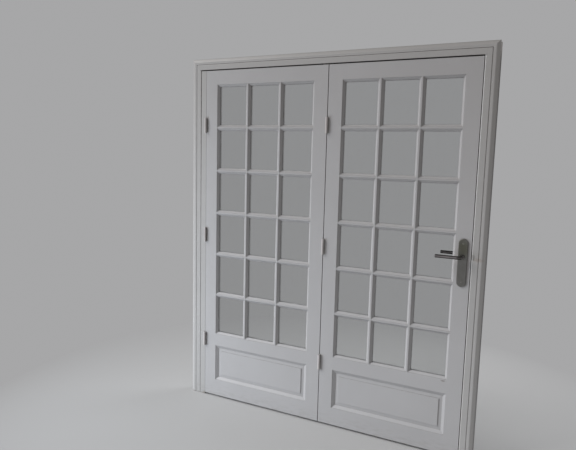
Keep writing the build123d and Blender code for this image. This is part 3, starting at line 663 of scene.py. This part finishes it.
def worn_metal(
    name, color, dark, bright, stretch, clouds, roughness, marks=(), flank_shade_color=None
):
    """Metal with scratches and rubbed edges; the flank colour is painted shade on what faces up
    or down.
    """
    cloud_from, cloud_full = 0.34, 0.66
    flank_from, flank_full = 0.12, 0.50
    scratch_roughness = 0.24
    scratch_depth = 0.00003
    edge_radius = 0.0006
    material, tree, shader = new_material(name)
    wear = placed_group(tree, metal_wear, Stretch=stretch, Clouds=clouds)
    cloudy = stretch_mask(tree, wear.outputs["Cloudy"], cloud_from, cloud_full)
    base = mix_colors(tree, cloudy, color, dark)
    for mark in marks:
        base = add_mark(tree, base, **mark)
    # Painted shade: what faces up or down is darkened toward the flank colour.
    if flank_shade_color:
        facing = add_node(tree, "ShaderNodeTexCoord").outputs["Normal"]
        upward = add_node(tree, "ShaderNodeSeparateXYZ", Vector=facing).outputs["Z"]
        upward = math_node(tree, "ABSOLUTE", upward)
        flank_shade = stretch_mask(tree, upward, flank_from, flank_full)
        base = mix_colors(tree, flank_shade, base, flank_shade_color)
    base = mix_colors(tree, wear.outputs["Rubbed"], base, bright)
    tree.links.new(base, shader.inputs["Base Color"])
    rough = math_node(tree, "MULTIPLY", wear.outputs["Scratches"], scratch_roughness)
    rough = math_node(tree, "ADD", rough, roughness)
    tree.links.new(rough, shader.inputs["Roughness"])
    shader.inputs["Metallic"].default_value = 1.0
    add_relief(tree, shader, wear.outputs["Scratches"], scratch_depth, edge_radius)
    return material


pin_metal = worn_metal(
    "hinge pin steel", color=(0.50, 0.49, 0.47, 1), dark=(0.30, 0.29, 0.27, 1),
    bright=(0.66, 0.65, 0.63, 1), stretch=(300.0, 300.0, 20.0), clouds=60.0, roughness=0.22,
)
dress(["frame_hinge_pins", "fold_hinge_pins"], pin_metal)

# Lock and bolts: a zinc plated mortice case behind its faceplate, the sprung latch and the
# follower that draws it, a striking plate painted with the frame, and two flush bolts.
plated_steel = worn_metal(
    "zinc plated steel", color=(0.60, 0.59, 0.55, 1), dark=(0.42, 0.41, 0.37, 1),
    bright=(0.72, 0.71, 0.68, 1), stretch=(30.0, 30.0, 400.0), clouds=45.0, roughness=0.28,
)
dress(
    [
        "lock_case", "lock_faceplate", "latch_bolt", "follower", "spindle",
        "flush_bolt_plates", "top_flush_bolt", "bottom_flush_bolt", "head_bolt_keep",
    ],
    plated_steel,
)
strike_paint = brushed_paint(
    "strike paint", frame_paint_color, upright_grain, grime_and_shade_amount=frame_upright_grime_and_shade
)
dress(["strike_plate"], strike_paint)

# Handle: cast levers and long round-ended plates in satin nickel, tarnished olive, with painted
# shade above and round the lever's neck; the levers are rubbed brighter where the hand holds
# them, and painted dark on their upper and lower flanks as shade.
spindle_low, spindle_high = piece_box("spindle")
lever_axis = (spindle_low + spindle_high) / 2
through_leaf = 0.300
# Olive tarnish with painted shade, darker above the lever on the plate.
olive_tarnish_and_shade = dict(
    centre=lever_axis + Vector((0, 0, 0.042)), reach=(0.040, 0.200, 0.055), breakup=30.0,
    color=(0.150, 0.150, 0.112, 1), strength=0.75,
)
# Painted shadow: a near-black ring on the plate round the lever's neck.
neck_shadow = dict(
    centre=lever_axis, reach=(0.0150, through_leaf, 0.0135), breakup=200.0,
    color=(0.03, 0.028, 0.02, 1), strength=0.85,
)
# Painted shade: the lever darker at its root by the plate.
lever_root_shade = dict(
    centre=lever_axis - Vector((0.0075, 0, 0)), reach=(0.020, through_leaf, 0.020),
    breakup=160.0, color=(0.04, 0.038, 0.028, 1), strength=0.8,
)
plate_metal = worn_metal(
    "aged satin nickel", color=(0.250, 0.246, 0.238, 1), dark=(0.190, 0.186, 0.172, 1),
    bright=(0.44, 0.43, 0.41, 1), stretch=(40.0, 40.0, 500.0), clouds=18.0, roughness=0.33,
    marks=(olive_tarnish_and_shade, neck_shadow),
)
# The levers' upper and lower flanks are painted near black, as shade.
lever_metal = worn_metal(
    "rubbed satin nickel", color=(0.38, 0.355, 0.36, 1), dark=(0.22, 0.205, 0.205, 1),
    bright=(0.50, 0.48, 0.47, 1), stretch=(60.0, 500.0, 500.0), clouds=22.0, roughness=0.20,
    marks=(lever_root_shade,), flank_shade_color=(0.032, 0.027, 0.025, 1),
)
dress(["front_handle_plate", "rear_handle_plate"], plate_metal)
dress(["front_lever", "rear_lever"], lever_metal)

# Screws: countersunk and slotted steel, driven flush into the hinge flaps and the plates.
# Each stands where its CAD solid is, with the slot left at whatever angle it stopped.
half_head_sides = 9
slot_half_width, slot_depth = 0.0005, 0.0010
shank_share, head_depth_share, face_share = 0.5, 0.5, 0.98
point_length = 0.004
same_level = 1e-5
slot_angle_seed = 11
random.seed(slot_angle_seed)


def screw_from_solid(points):
    """Head centre, outward way, head radius and length, read from a plain CAD screw."""
    low, high = corners_of(points)
    sizes = high - low
    axis = max(range(3), key=lambda way: sizes[way])
    middle = (low + high) / 2

    def reach_at(level):
        """The greatest distance from the axis among the points at one end."""
        reach = 0.0
        for point in points:
            if abs(point[axis] - level) < same_level:
                offset = point - middle
                offset[axis] = 0
                reach = max(reach, offset.length)
        return reach

    head_high = reach_at(high[axis]) > reach_at(low[axis])
    outward = Vector((0, 0, 0))
    outward[axis] = 1 if head_high else -1
    head = middle.copy()
    head[axis] = high[axis] if head_high else low[axis]
    radius = min(sizes[way] for way in range(3) if way != axis) / 2
    return head, outward, radius, sizes[axis]


def add_screw(mesh, head, outward, radius, length):
    """A slotted countersunk screw with its face at the head point."""
    made_before = len(mesh.faces)
    turn = Matrix.Rotation(random.uniform(0, math.pi), 4, "Z")
    facing = outward.to_track_quat("Z", "Y").to_matrix().to_4x4()
    place = Matrix.Translation(head) @ facing @ turn
    start = math.asin(slot_half_width / radius)
    half = [
        start + (math.pi - 2 * start) * side / half_head_sides
        for side in range(half_head_sides + 1)
    ]
    angles = half + [math.pi + angle for angle in half]
    count = len(angles)

    def vertex(x, y, level):
        """A vertex at a level below the face."""
        return mesh.verts.new(place @ Vector((x, y, -level)))

    def ring(ring_radius, level):
        """One turn of vertices at a level below the face."""
        return [
            vertex(ring_radius * math.cos(angle), ring_radius * math.sin(angle), level)
            for angle in angles
        ]

    face = ring(radius * face_share, 0)
    cone = ring(radius * shank_share, radius * head_depth_share)
    body = ring(radius * shank_share, length - point_length)
    tip = vertex(0, 0, length)
    for upper, lower in ((face, cone), (cone, body)):
        for here in range(count):
            after = (here + 1) % count
            mesh.faces.new((upper[here], upper[after], lower[after], lower[here]))
    for here in range(count):
        mesh.faces.new((body[here], body[(here + 1) % count], tip))
    mesh.faces.new(face[:half_head_sides + 1])
    mesh.faces.new(face[half_head_sides + 1:])
    slot_reach = radius * face_share * math.cos(start) - slot_depth
    slot_floor = [
        vertex(x * slot_reach, y * slot_half_width, slot_depth)
        for x, y in ((1, 1), (-1, 1), (-1, -1), (1, -1))
    ]
    rim = [face[0], face[half_head_sides], face[half_head_sides + 1], face[-1]]
    mesh.faces.new(slot_floor)
    for here in range(4):
        after = (here + 1) % 4
        mesh.faces.new((rim[here], rim[after], slot_floor[after], slot_floor[here]))
    mesh.faces.ensure_lookup_table()
    on_handle_plate = bool(outward.y)
    for face_made in mesh.faces[made_before:]:
        face_made.material_index = 1 if on_handle_plate else 0


for node, body in (
    ("frame_screws", "frame"), ("left_leaf_screws", "left_leaf"),
    ("right_leaf_screws", "right_leaf"),
):
    mesh = bmesh.new()
    for solid in loose_solids(node):
        add_screw(mesh, *screw_from_solid(solid))
    screws = new_piece(f"{node}_slotted", mesh, pin_metal, body)
    screws.data.materials.append(plate_metal)
    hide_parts(node)

# Floor: one pale matt sheet. Far away it fades into the surroundings, only for rays that
# are looked along, so that the fade puts no light on the doors.
floor_color = (0.56, 0.56, 0.56, 1)
surround_color = (0.385, 0.385, 0.39, 1)
floor_half = 60.0
fade_start, fade_end = 0.7, 2.1


def seen_rays(tree):
    """One for rays that are looked along, also through glass or in a mirror, else zero."""
    path = add_node(tree, "ShaderNodeLightPath").outputs
    seen = math_node(tree, "MAXIMUM", path["Is Camera Ray"], path["Is Glossy Ray"])
    return math_node(tree, "MAXIMUM", seen, path["Is Transmission Ray"])


floor_mesh = bpy.data.meshes.new("floor")
floor_corners = [
    (x * floor_half, y * floor_half, 0) for x, y in ((-1, -1), (1, -1), (1, 1), (-1, 1))
]
floor_mesh.from_pydata(floor_corners, [], [(0, 1, 2, 3)])
floor = bpy.data.objects.new("floor", floor_mesh)
bpy.context.scene.collection.objects.link(floor)

floor_material, tree, shader = new_material("pale floor")
shader.inputs["Base Color"].default_value = floor_color
shader.inputs["Roughness"].default_value = 0.9
away = vector_node(tree, "LENGTH", object_place(tree)).outputs["Value"]
fade = stretch_mask(tree, away, fade_start, fade_end)
fade = math_node(tree, "MULTIPLY", fade, seen_rays(tree))
far_glow = add_node(tree, "ShaderNodeEmission", Color=surround_color, Strength=1.0)
surface = mix_shaders(tree, fade, shader.outputs["BSDF"], far_glow.outputs["Emission"])
replace_surface(tree, surface)
floor_mesh.materials.append(floor_material)

# Light: a broad even lamp high on the left, a cool lamp low on the left, one behind, and
# warm even surroundings. The two near lamps are neither seen nor mirrored.
warm_white = (1.0, 0.985, 0.975)
fill_strength = 0.27
high_lamp_strength, high_lamp_spread = 1.72, 28
world = bpy.data.worlds.new("studio surroundings")
bpy.context.scene.world = world
world.use_nodes = True
tree = world.node_tree
tree.nodes.clear()
fill = add_node(
    tree, "ShaderNodeBackground", Color=(*warm_white, 1), Strength=fill_strength
)
shown = add_node(tree, "ShaderNodeBackground", Color=surround_color, Strength=1.0)
surroundings = mix_shaders(
    tree, seen_rays(tree), fill.outputs["Background"], shown.outputs["Background"]
)
world_output = add_node(tree, "ShaderNodeOutputWorld")
tree.links.new(surroundings, world_output.inputs["Surface"])


def add_lamp(name, kind, place, target, color, power):
    """A lamp at a place, turned to the target."""
    data = bpy.data.lights.new(name, kind)
    data.color = color
    data.energy = power
    lamp = bpy.data.objects.new(name, data)
    lamp.location = place
    lamp.rotation_euler = (Vector(target) - Vector(place)).to_track_quat("-Z", "Y").to_euler()
    bpy.context.scene.collection.objects.link(lamp)
    return lamp


def add_near_lamp(name, place, target, color, power, size):
    """A square lamp close by, which shines but isn't seen, mirrored or seen through glass."""
    lamp = add_lamp(name, "AREA", place, target, color, power)
    lamp.data.shape = "SQUARE"
    lamp.data.size = size
    lamp.visible_camera = False
    lamp.visible_glossy = False
    lamp.visible_transmission = False


high_lamp = add_lamp(
    "high left lamp", "SUN", place=(-4.6, -3.0, 4.9), target=(0, 0, 0.9), color=warm_white,
    power=high_lamp_strength,
)
high_lamp.data.angle = math.radians(high_lamp_spread)
add_near_lamp(
    "low left lamp", place=(-2.6, -1.8, 0.72), target=(-0.3, 0, 0.8),
    color=(0.84, 0.92, 1.0), power=56, size=1.4,
)
add_near_lamp(
    "back lamp", place=(2.5, 3.2, 2.6), target=(0, 0, 1.0), color=(0.95, 0.975, 1.0),
    power=95, size=2.4,
)

# Camera: held at eye height, to the right of the doors, and turned toward them with a
# slight tilt. Its place and lens were fitted to the straight lines of the doors.
focal_length = 34.133
sensor_width = 36.0
farthest_seen = 200.0
camera_place = (1.1977, -2.8246, 1.5583)
camera_yaw, camera_pitch, camera_roll = 26.577, -7.333, -1.416
camera_data = bpy.data.cameras.new("camera")
camera_data.lens = focal_length
camera_data.sensor_width = sensor_width
camera_data.sensor_fit = "HORIZONTAL"
camera_data.clip_end = farthest_seen
camera = bpy.data.objects.new("camera", camera_data)
turn = (
    Matrix.Rotation(math.radians(camera_yaw), 3, "Z")
    @ Matrix.Rotation(math.radians(camera_pitch), 3, "X")
    @ Matrix.Rotation(math.radians(camera_roll), 3, "Y")
)
upright_view = Matrix.Rotation(math.radians(90), 3, "X")
camera.matrix_world = Matrix.Translation(camera_place) @ (turn @ upright_view).to_4x4()
bpy.context.scene.collection.objects.link(camera)
bpy.context.scene.camera = camera
bpy.context.scene.view_settings.view_transform = "Standard"
